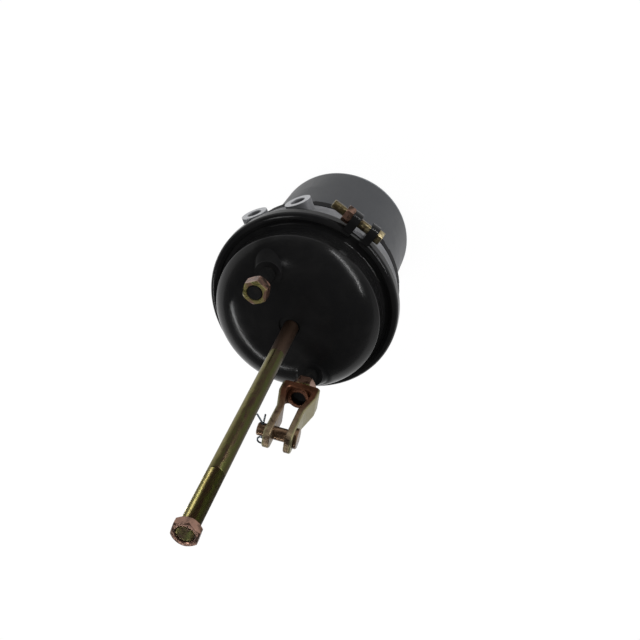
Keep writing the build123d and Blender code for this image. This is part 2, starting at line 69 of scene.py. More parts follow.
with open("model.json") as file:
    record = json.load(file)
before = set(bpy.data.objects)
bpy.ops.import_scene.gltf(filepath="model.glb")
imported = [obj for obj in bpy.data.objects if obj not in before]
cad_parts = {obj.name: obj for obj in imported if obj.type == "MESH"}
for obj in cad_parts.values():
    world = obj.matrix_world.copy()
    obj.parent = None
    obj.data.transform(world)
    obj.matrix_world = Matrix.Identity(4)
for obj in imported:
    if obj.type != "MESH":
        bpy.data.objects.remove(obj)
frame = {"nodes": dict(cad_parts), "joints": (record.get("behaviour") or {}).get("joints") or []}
NODES = frame["nodes"]
CAD_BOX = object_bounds()
STUD_X = sum(c[0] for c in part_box("mounting_stud_1")) / 2
STUD_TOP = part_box("mounting_stud_1")[1][2]
PIN_TURN = math.radians(60.5)           # the clevis pin's axis, turned from X
JOINT_TURN = math.radians(-55.5)        # where the clamp's bolt stands, turned from X
PORT_Y = 0.026                          # the two ports lie this far either side of the middle
PUSH_JOINT = next(j for j in frame["joints"] if j["name"] == "push_rod_slide")

# Sizes in metres
PAD_RADIUS = 0.014                      # flat pads of the bowl round the studs
PAD_DRAFT = math.tan(math.radians(25))
STUD_HEAD = 0.004                       # height of a stud's head
STUD_FLANGE = 0.0035                    # reach of that head past the thread
STUD_CHAMFER = 0.0005
STUD_NECK = 0.0008                      # reach of the pressed-in neck past the thread
RUN_OUT = 0.0012                        # taper between a plain shank and its thread
BITE = 0.0001                           # overlap of bodies that make one piece
DISC_WALL = 0.0014
DISC_PLAY = 0.0004                      # between the dust disc and the rod
BOLT_RUN_OUT = 0.001
BOLT_DEPTH = 0.8                        # of the studs' thread depth
HEAD_EDGE = 0.0006                      # rounding of the bolt's head
PORT_INSET = 0.0015                     # plain mouth before a port's thread
RIB_SINK = 0.0002                       # a port's thread is rooted this deep in its wall
BEAD_STEP = 0.0025                      # from the diaphragm's flank to the back of its wall
FLANK_STEPS = 6
FOOT_REFLECTION_Z = (0.0545, 0.0553)               # where the rod's dark brown foot ends, a painted reflection of the black bowl
FORK_Z = (0.06, 0.105)                  # from the clevis's hub, with its painted shade, to its ends
FLARE_Z = (0.054, 0.080)                # where its cheeks close in
FLARE_REACH = (0.0195, 0.0140)          # their distance from its middle at those heights

# Refraction of the coats. It is far under real enamel's 1.5, which mirrors the white floor too brightly.
ENAMEL_IOR = 1.17
SATIN_IOR = 1.16
RING_IOR = 1.08
# Lower still down the sides of the pads round the studs, as a painted shade:
PAD_SHADE_IOR = 1.05
STUD_IOR = 1.12
DUST_IOR = 1.1
PIT_SCALE = 1500.0                      # noise scale of the fine pits in the plating
TIP_PITTING = 0.1                       # the tip nut's pits are kept faint
THREAD_LIFT = 1.9                       # tone of the rod's thread over that of its shank

CAMERA_RIGHT = Vector((-0.34798703, -0.90514551, -0.24416518))
CAMERA_UP = Vector((0.86261244, -0.20714136, -0.46151082))
CAMERA_AIM = Vector((-0.36715774, 0.3712197, -0.85287228))
FLOOR_GLOW = 1.02
FLOOR_SEEN = 0.94                       # share of that glow in what the camera and mirrors see
LAMP_AIM = (0, 0, -0.05)


def colour(label, value, about):
    return FloatVectorProperty(name=label, description=about, subtype="COLOR", size=3, min=0, max=1, default=value)


def length(label, value, about):
    return FloatProperty(name=label, description=about, unit="LENGTH", subtype="DISTANCE", default=value, precision=5)


def share(label, value, about):
    return FloatProperty(name=label, description=about, min=0, max=1, default=value)


class ThreadSizes(bpy.types.PropertyGroup):
    """Screw threads and wall sizes of the turned pieces."""

    pitch: length("Pitch", 0.0015, "Pitch of the stud, rod and port threads")
    depth: length("Depth", 0.00085, "Crest to root of those threads")
    stud_radius: length("Stud radius", 0.008, "Crest radius of the studs and the rod")
    bolt_radius: length("Bolt radius", 0.005, "Crest radius of the clamp bolt")
    bolt_pitch: length("Bolt pitch", 0.00125, "Pitch of the clamp bolt")
    rod_thread: length("Rod thread", 0.07, "Threaded length at the rod's end")
    disc_radius: length("Disc radius", 0.01142, "Dust disc in the bowl's hole")
    disc_height: length("Disc height", -0.0012, "Upper face of the dust disc")
    bolt_head: length("Bolt head", 0.0065, "Height of the clamp bolt's head")
    bolt_thread: length("Bolt thread", 0.030, "Threaded length of the clamp bolt")
    port_pitch: length("Port pitch", 0.0014, "Pitch of the threads in the ports")
    port_depth: length("Port depth", 0.0008, "Height of those threads")
    port_run: length("Port run", 0.012, "Threaded length of a port")
    steps: IntProperty(name="Steps", description="Steps in one turn of a thread", default=28, min=8, max=64)


class InsideSizes(bpy.types.PropertyGroup):
    """Diaphragm and springs, which change shape with the stroke."""

    diaphragm_wall: length("Diaphragm wall", 0.004, "Thickness of the diaphragm")
    cup_floor: length("Cup floor", 0.057, "Radius of the diaphragm's flat floor")
    cup_mouth: length("Cup mouth", 0.0801, "Radius at which its flank meets the bead")
    return_foot: length("Return foot", 0.036, "Coil radius of the return spring on the push plate")
    return_top: length("Return top", 0.024, "Coil radius of the return spring in the bowl")
    return_wire: length("Return wire", 0.0022, "Wire radius of the return spring")
    return_turns: FloatProperty(name="Return turns", description="Turns of the return spring", default=4.0)
    return_solid: length("Return solid", 0.0080, "Height of the return spring at full stroke")
    power_radius: length("Power radius", 0.060, "Coil radius of the power spring")
    power_wire: length("Power wire", 0.0055, "Wire radius of the power spring")
    power_turns: FloatProperty(name="Power turns", description="Turns of the power spring", default=4.25)


class PaintColours(bpy.types.PropertyGroup):
    """Painted, cast and rubber surfaces."""

    bowl: colour("Bowl", (0.0055, 0.0055, 0.0057), "Gloss black of the bowl and the clamp")
    dust: colour("Dust", (0.022, 0.021, 0.02), "Pale film that dulls the paint in places")
    housing: colour("Housing", (0.0265, 0.028, 0.031), "Satin dark grey of the spring housing")
    ring: colour("Lock ring", (0.004, 0.004, 0.0045), "Black of the lock ring")
    casting: colour("Casting", (0.13, 0.132, 0.14), "Cast aluminium")
    rubber: colour("Rubber", (0.02, 0.02, 0.02), "Diaphragm and seals")
    # The pale, patchy line painted at this height is a painted highlight near the housing's end.
    highlight_line: length("Crease", -0.2395, "Height of the rubbed crease near the housing's end")
    peel: share("Orange peel", 0.05, "Depth of the ripple in the gloss paint")


class PlatingColours(bpy.types.PropertyGroup):
    """Plated steel: the rod, the nuts, the clevis and its pins."""

    olive: colour("Olive", (0.043, 0.033, 0.0095), "Main tone of the rod's passivated zinc")
    umber: colour("Umber", (0.027, 0.0145, 0.008), "Brown streaks in the rod's zinc")
    green: colour("Green", (0.037, 0.043, 0.008), "Green streaks in the rod's zinc")
    # The pale edge on one side of the rod is a painted highlight.
    pale: colour("Pale edge", (0.22, 0.195, 0.075), "Thin pale streak in the rod's zinc")
    # The rod's foot is painted dark brown as a painted reflection of the black bowl.
    foot: colour("Rod foot", (0.034, 0.020, 0.013), "Grease-browned foot of the rod")
    copper: colour("Copper", (0.215, 0.122, 0.089), "Pinkish tone of the nuts")
    # Straw and green on the stud nuts' faced ends are zinc tones laid there as a painted reflection.
    straw: colour("Straw", (0.28, 0.25, 0.09), "Yellow on the nuts' chamfers")
    # The fork's inside is painted in this dark red-brown, a painted shade in the fork.
    fork_shade: colour("Rust", (0.11, 0.042, 0.02), "Inside of the clevis")
    beige: colour("Beige", (0.26, 0.225, 0.12), "Outside of the clevis")
    steel: colour("Steel", (0.09, 0.105, 0.12), "Split pin")


class StudioSizes(bpy.types.PropertyGroup):
    """Camera, floor and lamps."""

    lens: FloatProperty(name="Lens", description="Focal length in millimetres", default=51.085)
    eye: FloatVectorProperty(name="Eye", description="Where the camera stands", size=3, subtype="TRANSLATION",
                             unit="LENGTH", default=(0.3373425, -0.3767684, 0.7868170))
    world: FloatProperty(name="World", description="Strength of the even light all round", default=0.55)
    horizon: FloatProperty(name="Horizon", description="Brightness mirrored from low down", default=0.3)
    ceiling: FloatProperty(name="Ceiling", description="Brightness mirrored from overhead", default=0.06)
    key: FloatProperty(name="Key", description="Power of the main lamp in watts", default=9.0)
    floor: colour("Floor", (0.80, 0.80, 0.80), "Pale floor")


# Mesh helpers


def new_piece(name, bm, body, replaced=()):
    mesh = bpy.data.meshes.new(name)
    bm.to_mesh(mesh)
    bm.free()
    piece = bpy.data.objects.new(name, mesh)
    bpy.context.scene.collection.objects.link(piece)
    if body:
        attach(piece, body)
    if replaced:
        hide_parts(*replaced)
    return piece


def smooth_by_angle(bm, degrees):
    """Shades the faces smooth and keeps every edge over the angle sharp."""
    limit = math.radians(degrees)
    for f in bm.faces:
        f.smooth = True
    for e in bm.edges:
        e.smooth = len(e.link_faces) == 2 and e.calc_face_angle(0.0) < limit


def revolved(profile, steps=96):
    """Closed solid turned about Z from (radius, z) corners, whose first and last lie on the axis."""
    bm = bmesh.new()
    verts = [bm.verts.new((r, 0, z)) for r, z in profile]
    edges = [bm.edges.new(pair) for pair in zip(verts, verts[1:])]
    bmesh.ops.spin(bm, geom=verts + edges, cent=(0, 0, 0), axis=(0, 0, 1), angle=2 * math.pi, steps=steps,
                   use_merge=True, use_duplicate=False)
    bmesh.ops.remove_doubles(bm, verts=bm.verts, dist=1e-6)
    bmesh.ops.recalc_face_normals(bm, faces=bm.faces)
    return bm


def thread(crest, depth, pitch, z0, z1, steps, lead=0.0012):
    """Threaded bar about Z: one tooth spun up a helix, cut flat at both ends and led in at the top."""
    bm = bmesh.new()
    root = crest - depth
    tooth = [(root, 0.0), (crest, 0.42), (crest, 0.54), (root, 0.96), (root, 1.0)]
    verts = [bm.verts.new((r, 0, z0 - 2 * pitch + s * pitch)) for r, s in tooth]
    edges = [bm.edges.new(pair) for pair in zip(verts, verts[1:])]
    turns = math.ceil((z1 - z0) / pitch) + 3
    bmesh.ops.spin(bm, geom=verts + edges, cent=(0, 0, 0), axis=(0, 0, 1), dvec=(0, 0, pitch / steps),
                   angle=2 * math.pi * turns, steps=steps * turns, use_merge=False, use_duplicate=False)
    bmesh.ops.remove_doubles(bm, verts=bm.verts, dist=2e-6)
    for z, up in ((z0, -1), (z1, 1)):
        bmesh.ops.bisect_plane(bm, geom=bm.verts[:] + bm.edges[:] + bm.faces[:], dist=1e-7,
                               plane_co=(0, 0, z), plane_no=(0, 0, up), clear_outer=True)
        rim = [e for e in bm.edges if e.is_boundary and all(abs(v.co.z - z) < 1e-6 for v in e.verts)]
        bmesh.ops.holes_fill(bm, edges=rim, sides=0)
    for v in bm.verts:
        limit = crest - depth * 1.1 * max(0.0, 1 - (z1 - v.co.z) / lead)
        r = math.hypot(v.co.x, v.co.y)
        if r > limit:
            v.co.x, v.co.y = v.co.x * limit / r, v.co.y * limit / r
    bmesh.ops.triangulate(bm, faces=[f for f in bm.faces if len(f.verts) > 4])
    bmesh.ops.recalc_face_normals(bm, faces=bm.faces)
    return bm


def inner_thread(bore, height, pitch, run, steps):
    """Helical rib about Z that stands inwards from a bore, closed at both ends."""
    bm = bmesh.new()
    crest = bore - height - RIB_SINK
    rib = [(bore, 0.08), (crest, 0.42), (crest, 0.54), (bore, 0.88)]
    verts = [bm.verts.new((r, 0, s * pitch)) for r, s in rib]
    bm.faces.new(verts)
    turns = int(run / pitch) - 1
    bmesh.ops.spin(bm, geom=bm.faces[:] + bm.edges[:] + bm.verts[:], cent=(0, 0, 0), axis=(0, 0, 1),
                   dvec=(0, 0, pitch / steps), angle=2 * math.pi * turns, steps=steps * turns,
                   use_merge=False, use_duplicate=False)
    bmesh.ops.remove_doubles(bm, verts=bm.verts, dist=1e-7)
    bmesh.ops.recalc_face_normals(bm, faces=bm.faces)
    return bm


def coil(foot, top, wire, z0, z1, turns):
    """Spring of round wire about Z, from its foot's radius to its top's."""
    bm = bmesh.new()
    bmesh.ops.create_circle(bm, cap_ends=True, segments=12, radius=wire,
                            matrix=Matrix.Translation((foot, 0, z0 + wire)) @ Matrix.Rotation(math.pi / 2, 4, "X"))
    rounds = round(36 * turns)
    bmesh.ops.spin(bm, geom=bm.faces[:] + bm.edges[:] + bm.verts[:], cent=(0, 0, 0), axis=(0, 0, 1),
                   dvec=(0, 0, (z1 - z0 - 2 * wire) / rounds), angle=2 * math.pi * turns, steps=rounds,
                   use_merge=False, use_duplicate=False)
    bmesh.ops.remove_doubles(bm, verts=bm.verts, dist=1e-7)
    for v in bm.verts:
        part = (v.co.z - z0) / (z1 - z0)
        v.co.xy *= 1 + (top / foot - 1) * part
    bmesh.ops.recalc_face_normals(bm, faces=bm.faces)
    smooth_by_angle(bm, 50)
    return bm


def joined(first, *others):
    """Adds the other meshes to the first."""
    for bm in others:
        copy = bpy.data.meshes.new("part")
        bm.to_mesh(copy)
        bm.free()
        first.from_mesh(copy)
        bpy.data.meshes.remove(copy)
    return first


def rod_line():
    """Direction of the leaning push rod and a point on its axis."""
    along = Vector(PUSH_JOINT["axis"]).normalized()
    verts = NODES["push_rod"].data.vertices
    return along, sum((v.co for v in verts), Vector()) / len(verts)


def hexagon(af, z0, z1, edge):
    """Hexagonal block about Z, af across its flats, with rounded edges."""
    bm = bmesh.new()
    bmesh.ops.create_cone(bm, cap_ends=True, segments=6, radius1=af / math.sqrt(3), radius2=af / math.sqrt(3),
                          depth=z1 - z0, matrix=Matrix.Translation((0, 0, (z0 + z1) / 2)))
    bmesh.ops.bevel(bm, geom=bm.edges[:], offset=edge, segments=2, profile=0.5, affect="EDGES", material=-1)
    return bm


# Material helpers


def finish(name, **sockets):
    """New material with its tree and shader; sockets are set by name, with _ for a space."""
    mat = bpy.data.materials.new(name)
    mat.use_nodes = True
    tree = mat.node_tree
    shader = tree.nodes["Principled BSDF"]
    for key, value in sockets.items():
        shader.inputs[key.replace("_", " ")].default_value = value
    return mat, tree, shader


def rgba(c):
    return (c[0], c[1], c[2], 1.0)


def object_place(tree, scale=(1, 1, 1)):
    place = tree.nodes.new("ShaderNodeTexCoord")
    mapping = tree.nodes.new("ShaderNodeMapping")
    mapping.inputs["Scale"].default_value = scale
    tree.links.new(place.outputs["Object"], mapping.inputs["Vector"])
    return mapping.outputs["Vector"]


def noise(tree, vector, scale, detail=4.0, rough=0.55, distortion=0.0):
    n = tree.nodes.new("ShaderNodeTexNoise")
    n.inputs["Scale"].default_value = scale
    n.inputs["Detail"].default_value = detail
    n.inputs["Roughness"].default_value = rough
    n.inputs["Distortion"].default_value = distortion
    tree.links.new(vector, n.inputs["Vector"])
    return n.outputs["Fac"]


def ramp(tree, value, *stops):
    """Colour of a value, from (position, colour) stops."""
    r = tree.nodes.new("ShaderNodeValToRGB")
    elements = r.color_ramp.elements
    while len(elements) < len(stops):
        elements.new(0.5)
    for e, (at, c) in zip(elements, stops):
        e.position = at
        e.color = rgba(c)
    tree.links.new(value, r.inputs["Fac"])
    return r.outputs["Color"]


def span(tree, value, low, high, to_low=0.0, to_high=1.0):
    """Value carried from one range to another and clamped there."""
    m = tree.nodes.new("ShaderNodeMapRange")
    for key, v in (("From Min", low), ("From Max", high), ("To Min", to_low), ("To Max", to_high)):
        m.inputs[key].default_value = v
    tree.links.new(value, m.inputs["Value"])
    return m.outputs["Result"]


def blended(tree, factor, a, b):
    """Mixes two colours; each is a colour or a socket."""
    m = tree.nodes.new("ShaderNodeMix")
    m.data_type = "RGBA"
    tree.links.new(factor, m.inputs["Factor"])
    for key, value in (("A", a), ("B", b)):
        socket = next(s for s in m.inputs if s.name == key and s.type == "RGBA")
        if isinstance(value, bpy.types.NodeSocket):
            tree.links.new(value, socket)
        else:
            socket.default_value = rgba(value)
    return next(s for s in m.outputs if s.type == "RGBA")


def calc(tree, kind, a, b):
    m = tree.nodes.new("ShaderNodeMath")
    m.operation = kind
    for i, value in enumerate((a, b)):
        if isinstance(value, bpy.types.NodeSocket):
            tree.links.new(value, m.inputs[i])
        else:
            m.inputs[i].default_value = value
    return m.outputs[0]


def bump(tree, shader, height, strength, distance, under=None):
    b = tree.nodes.new("ShaderNodeBump")
    b.inputs["Strength"].default_value = strength
    b.inputs["Distance"].default_value = distance
    tree.links.new(height, b.inputs["Height"])
    if under is not None:
        tree.links.new(under, b.inputs["Normal"])
    tree.links.new(b.outputs["Normal"], shader.inputs["Normal"])
    return b.outputs["Normal"]


def axis_part(tree, vector, axis):
    s = tree.nodes.new("ShaderNodeSeparateXYZ")
    tree.links.new(vector, s.inputs[0])
    return s.outputs[axis]


def dot(tree, vector, way):
    """Length of a vector along a fixed way."""
    m = tree.nodes.new("ShaderNodeVectorMath")
    m.operation = "DOT_PRODUCT"
    m.inputs[1].default_value = way
    tree.links.new(vector, m.inputs[0])
    return m.outputs["Value"]


def pitting(tree, place):
    return noise(tree, place, PIT_SCALE, 3.0)


def gloss_paint(name, tone, dust, peel, rough=0.14, ior=ENAMEL_IOR):
    """Thick gloss enamel: ripple, faint dust film and specks."""
    mat, tree, shader = finish(name, Metallic=0.0, IOR=ior, Coat_Weight=0.02, Coat_Roughness=0.1)
    place = object_place(tree)
    cloud = noise(tree, place, 26.0, 5.0, 0.6, 0.4)
    specks = noise(tree, place, 1700.0, 2.0)
    film = calc(tree, "MULTIPLY", span(tree, cloud, 0.42, 0.72), 0.16)
    film = calc(tree, "ADD", film, calc(tree, "MULTIPLY", span(tree, specks, 0.66, 0.74), 0.25))
    tree.links.new(blended(tree, film, tone, dust), shader.inputs["Base Color"])
    tree.links.new(span(tree, cloud, 0.3, 0.75, rough, rough + 0.12), shader.inputs["Roughness"])
    low = bump(tree, shader, noise(tree, place, 420.0, 2.0, 0.4), peel, 0.0006)
    bump(tree, shader, specks, 0.05, 0.0002, low)
    return mat


def satin_paint(name, tone, dust, highlight_line):
    """Sprayed satin enamel with fine grain, faint runs down the side and a painted highlight: a pale, patchy line at
    a given height.
    """
    mat, tree, shader = finish(name, Metallic=0.0, IOR=SATIN_IOR, Coat_Weight=0.02, Coat_Roughness=0.2)
    place = object_place(tree)
    cloud = noise(tree, place, 14.0, 5.0, 0.6, 0.3)
    grain = noise(tree, place, 1300.0, 3.0)
    streak = noise(tree, object_place(tree, (60, 60, 4)), 3.0, 4.0, 0.6)
    film = calc(tree, "ADD", calc(tree, "MULTIPLY", span(tree, cloud, 0.4, 0.75), 0.25),
                calc(tree, "MULTIPLY", span(tree, streak, 0.5, 0.8), 0.18))
    # Painted highlight: a pale, patchy line at this height stands for the light caught near the housing's end.
    away = calc(tree, "ABSOLUTE", calc(tree, "SUBTRACT", axis_part(tree, place, "Z"), highlight_line), 0.0)
    rim_highlight = calc(tree, "MULTIPLY", span(tree, away, 0.0014, 0.0006), span(tree, cloud, 0.35, 0.6, 0.35, 0.8))
    painted = blended(tree, rim_highlight, blended(tree, film, tone, dust), [v * 4 for v in dust])
    tree.links.new(painted, shader.inputs["Base Color"])
    tree.links.new(span(tree, cloud, 0.3, 0.7, 0.29, 0.44), shader.inputs["Roughness"])
    low = bump(tree, shader, noise(tree, place, 350.0, 2.0, 0.4), 0.06, 0.0005)
    bump(tree, shader, grain, 0.12, 0.0002, low)
    return mat


def casting(name, tone, machined_beyond=None):
    """Sand-cast aluminium: grainy skin, stains, and bright turned port faces past a given X."""
    mat, tree, shader = finish(name)
    place = object_place(tree)
    grain = noise(tree, place, 950.0, 5.0, 0.65)
    stain = noise(tree, place, 38.0, 5.0, 0.6, 0.5)
    dark = [c * 0.62 for c in tone]
    pale = [min(1.0, c * 1.35) for c in tone]
    skin = blended(tree, span(tree, stain, 0.35, 0.7), dark, pale)
    skin = blended(tree, span(tree, grain, 0.55, 0.75), skin, [c * 0.8 for c in tone])
    rough = span(tree, grain, 0.3, 0.7, 0.48, 0.66)
    metal = span(tree, stain, 0.3, 0.7, 0.55, 0.75)
    if machined_beyond:
        turned = span(tree, axis_part(tree, place, "X"), machined_beyond - 0.0006, machined_beyond - 0.0002)
        skin = blended(tree, turned, skin, (0.36, 0.365, 0.38))
        rough = calc(tree, "SUBTRACT", rough, calc(tree, "MULTIPLY", turned, 0.2))
    tree.links.new(skin, shader.inputs["Base Color"])
    tree.links.new(rough, shader.inputs["Roughness"])
    tree.links.new(metal, shader.inputs["Metallic"])
    low = bump(tree, shader, noise(tree, place, 260.0, 3.0, 0.5), 0.18, 0.0008)
    bump(tree, shader, grain, 0.35, 0.0004, low)
    return mat


def plating(name, tones, cloud_scale, rough=0.3, metallic=0.9):
    """Passivated zinc: iridescent clouds, fine pits, uneven gloss."""
    mat, tree, shader = finish(name, Metallic=metallic)
    place = object_place(tree)
    cloud = noise(tree, place, cloud_scale, 5.0, 0.6, 0.8)
    step = 0.36 / max(1, len(tones) - 1)
    tone = ramp(tree, cloud, *[(0.32 + step * i, t) for i, t in enumerate(tones)])
    pits = pitting(tree, place)
    tone = blended(tree, span(tree, pits, 0.60, 0.72, 0.0, 0.45), tone, [c * 0.35 for c in tones[0]])
    tree.links.new(tone, shader.inputs["Base Color"])
    tree.links.new(span(tree, cloud, 0.3, 0.7, rough - 0.05, rough + 0.14), shader.inputs["Roughness"])
    bump(tree, shader, pits, 0.12, 0.0003)
    return mat


def rubber(name, tone, ior=1.4):
    """Matt moulded rubber: cloudy bloom and fine grain."""
    mat, tree, shader = finish(name, Metallic=0.0, IOR=ior)
    place = object_place(tree)
    cloud = noise(tree, place, 45.0, 4.0)
    tree.links.new(blended(tree, span(tree, cloud, 0.4, 0.7), tone, [c * 2.2 for c in tone]),
                   shader.inputs["Base Color"])
    tree.links.new(span(tree, cloud, 0.3, 0.7, 0.55, 0.75), shader.inputs["Roughness"])
    bump(tree, shader, noise(tree, place, 900.0, 3.0), 0.15, 0.0003)
    return mat


def paint_nodes(mat, *names):
    """Gives the named CAD nodes this one material."""
    for name in names:
        slots = NODES[name].data.materials
        slots.clear()
        slots.append(mat)


def coat(piece, mat):
    piece.data.materials.clear()
    piece.data.materials.append(mat)
    return piece


def black_gloss(context):
    c = context.scene.chamber_paint
    return bpy.data.materials.get("black_enamel") or gloss_paint("black_enamel", c.bowl, c.dust, c.peel)


def bowl_paint(context):
    """The clamp's gloss enamel, with a painted shade down the sides of the pads round the studs, where it reflects
    less.
    """
    mat = black_gloss(context).copy()
    mat.name = "bowl_enamel"
    tree = mat.node_tree
    shader, place = tree.nodes["Principled BSDF"], object_place(tree)
    x, y, z = (axis_part(tree, place, axis) for axis in "XYZ")
    off = calc(tree, "SUBTRACT", calc(tree, "ABSOLUTE", x, 0.0), STUD_X)
    squares = calc(tree, "ADD", calc(tree, "MULTIPLY", off, off), calc(tree, "MULTIPLY", y, y))
    away = calc(tree, "SQRT", squares, 0.0)
    slope = calc(tree, "ADD", away, calc(tree, "MULTIPLY", z, PAD_DRAFT))
    side = calc(tree, "MULTIPLY", span(tree, slope, PAD_RADIUS + 0.001, PAD_RADIUS + 0.004, 1.0, 0.0),
                span(tree, z, -0.0008, -0.0002, 1.0, 0.0))
    # Painted shade: the enamel reflects less down the sides of the pads.
    tree.links.new(span(tree, side, 0.0, 1.0, shader.inputs["IOR"].default_value, PAD_SHADE_IOR), shader.inputs["IOR"])
    return mat


def nut_plating(context, name, top, depth=0.5):
    """Coppery zinc with pits to a depth, painted yellow-green on the faced end past a height: zinc tones, laid there
    as a painted reflection on that face.
    """
    c = context.scene.chamber_plating
    mat, tree, shader = finish(name, Metallic=0.85)
    place = object_place(tree)
    cloud = noise(tree, place, 75.0, 5.0, 0.6, 0.8)
    pits = pitting(tree, place)
    side = ramp(tree, cloud, (0.34, c.umber), (0.5, c.copper), (0.68, [v * 1.3 for v in c.copper]))
    # Painted reflection: the faced end takes its own yellow-green zinc tones, standing for the reflection on that
    # face.
    face_with_reflection = ramp(tree, cloud, (0.36, c.green), (0.5, c.straw), (0.66, [v * 0.8 for v in c.copper]))
    tone = blended(tree, span(tree, axis_part(tree, place, "Z"), top - 0.0016, top - 0.0008), side, face_with_reflection)
    tone = blended(tree, span(tree, pits, 0.58, 0.72, 0.0, depth), tone, [v * 0.3 for v in c.umber])
    tree.links.new(tone, shader.inputs["Base Color"])
    tree.links.new(span(tree, cloud, 0.3, 0.7, 0.2, 0.36), shader.inputs["Roughness"])
    bump(tree, shader, pits, 0.3 * depth, 0.0003)
    return mat


def rod_plating(context, pivot, along, radius, cut):
    """Zinc in long streaks of green, olive and brown, banded across the rod from one fixed side: partly the zinc's
    streaks, partly painted reflection, with a painted highlight on the pale edge. Its foot by the bowl is painted
    dark brown, a painted reflection of the black bowl.
    """
    c = context.scene.chamber_plating
    mat, tree, shader = finish("rod_plating", Metallic=0.85)
    place = object_place(tree)
    way = Vector((0.737, 0.675, 0.0))
    way.z = -way.dot(along) / along.z                   # square to the rod
    off = calc(tree, "ADD", dot(tree, place, way / radius), -way.dot(pivot) / radius)
    streak = noise(tree, object_place(tree, (1, 1, 0.22)), 420.0, 5.0, 0.65, 0.3)
    cloud = noise(tree, object_place(tree, (1, 1, 0.3)), 90.0, 5.0, 0.6, 0.5)
    wander = calc(tree, "ADD", off, calc(tree, "MULTIPLY", calc(tree, "SUBTRACT", cloud, 0.5), 0.9))
    # These bands lie across the rod from one fixed side: partly the zinc's own streaks, partly painted reflection,
    # with the pale edge a painted highlight.
    zinc_and_reflection_bands = ramp(tree, span(tree, wander, -1.0, 1.0), (0.0, c.umber), (0.14, c.olive), (0.24, c.green),
                 (0.36, c.green), (0.47, c.umber), (0.66, c.umber), (0.78, c.olive), (0.90, c.pale))
    mottle = ramp(tree, streak, (0.40, c.umber), (0.5, c.olive), (0.60, c.green))
    zinc_and_reflection_bands = blended(tree, span(tree, streak, 0.3, 0.7, 0.15, 0.6), zinc_and_reflection_bands, mottle)
    height = axis_part(tree, place, "Z")
    # Painted reflection: below this height the rod is painted dark brown for the black bowl mirrored in it.
    foot = span(tree, height, *FOOT_REFLECTION_Z)
    tone = blended(tree, foot, blended(tree, cloud, c.foot, [v * 1.5 for v in c.foot]), zinc_and_reflection_bands)
    pits = pitting(tree, place)
    tone = blended(tree, span(tree, pits, 0.58, 0.70, 0.0, 0.5), tone, [v * 0.35 for v in c.umber])
    lift = tree.nodes.new("ShaderNodeVectorMath")       # makes up for the shade in the thread's grooves
    lift.operation = "SCALE"
    tree.links.new(tone, lift.inputs[0])
    tree.links.new(span(tree, height, cut - 0.0002, cut + 0.0004, 1.0, THREAD_LIFT), lift.inputs["Scale"])
    tree.links.new(lift.outputs["Vector"], shader.inputs["Base Color"])
    tree.links.new(calc(tree, "SUBTRACT", span(tree, cloud, 0.3, 0.7, 0.40, 0.5), calc(tree, "MULTIPLY", foot, 0.2)),
                   shader.inputs["Roughness"])
    bump(tree, shader, pits, 0.12, 0.0003)
    return mat


# Studio helpers


def placed(obj, middle, right, up, back):
    """Links an object at a point, with its own axes along the three given."""
    obj.matrix_world = Matrix.Translation(middle) @ Matrix((right, up, back)).transposed().to_4x4()
    bpy.context.scene.collection.objects.link(obj)
    return obj


def lamp(name, start, end, width, power):
    """Lamp whose long side runs from one point to another and that faces the part."""
    start, end = Vector(start), Vector(end)
    middle, along = (start + end) / 2, (end - start).normalized()
    back = middle - Vector(LAMP_AIM)
    back = (back - along * back.dot(along)).normalized()
    light = bpy.data.lights.new(name, "AREA")
    light.shape, light.size, light.size_y = "RECTANGLE", (end - start).length, width
    light.energy = power
    placed(bpy.data.objects.new(name, light), middle, along, back.cross(along), back)


def camera(s):
    cam = bpy.data.cameras.new("studio_camera")
    cam.lens, cam.sensor_width, cam.sensor_fit = s.lens, 36.0, "HORIZONTAL"
    cam.clip_end = 50
    return placed(bpy.data.objects.new("studio_camera", cam), s.eye, CAMERA_RIGHT, CAMERA_UP, -CAMERA_AIM)


def pale_floor(s):
    """Floor that glows evenly for the camera and in mirrors, and takes shadows as a matt one."""
    bm = bmesh.new()
    bmesh.ops.create_grid(bm, x_segments=1, y_segments=1, size=6.0,
                          matrix=Matrix.Translation((0, 0, CAD_BOX[0][2] - 0.0005)))
    mesh = bpy.data.meshes.new("studio_floor")
    bm.to_mesh(mesh)
    bm.free()
    floor = bpy.data.objects.new("studio_floor", mesh)
    bpy.context.scene.collection.objects.link(floor)
    mat, tree, shader = finish("floor_white", Base_Color=rgba(s.floor), Roughness=0.9)
    glow = tree.nodes.new("ShaderNodeEmission")
    glow.inputs["Strength"].default_value = FLOOR_GLOW
    path = tree.nodes.new("ShaderNodeLightPath")
    mix = tree.nodes.new("ShaderNodeMixShader")
    seen = path.outputs["Is Camera Ray"]
    for kind in ("Is Glossy Ray", "Is Transmission Ray"):
        seen = calc(tree, "MAXIMUM", seen, path.outputs[kind])
    tree.links.new(calc(tree, "MULTIPLY", seen, FLOOR_SEEN), mix.inputs[0])
    tree.links.new(shader.outputs[0], mix.inputs[1])
    tree.links.new(glow.outputs[0], mix.inputs[2])
    tree.links.new(mix.outputs[0], tree.nodes["Material Output"].inputs["Surface"])
    mesh.materials.append(mat)


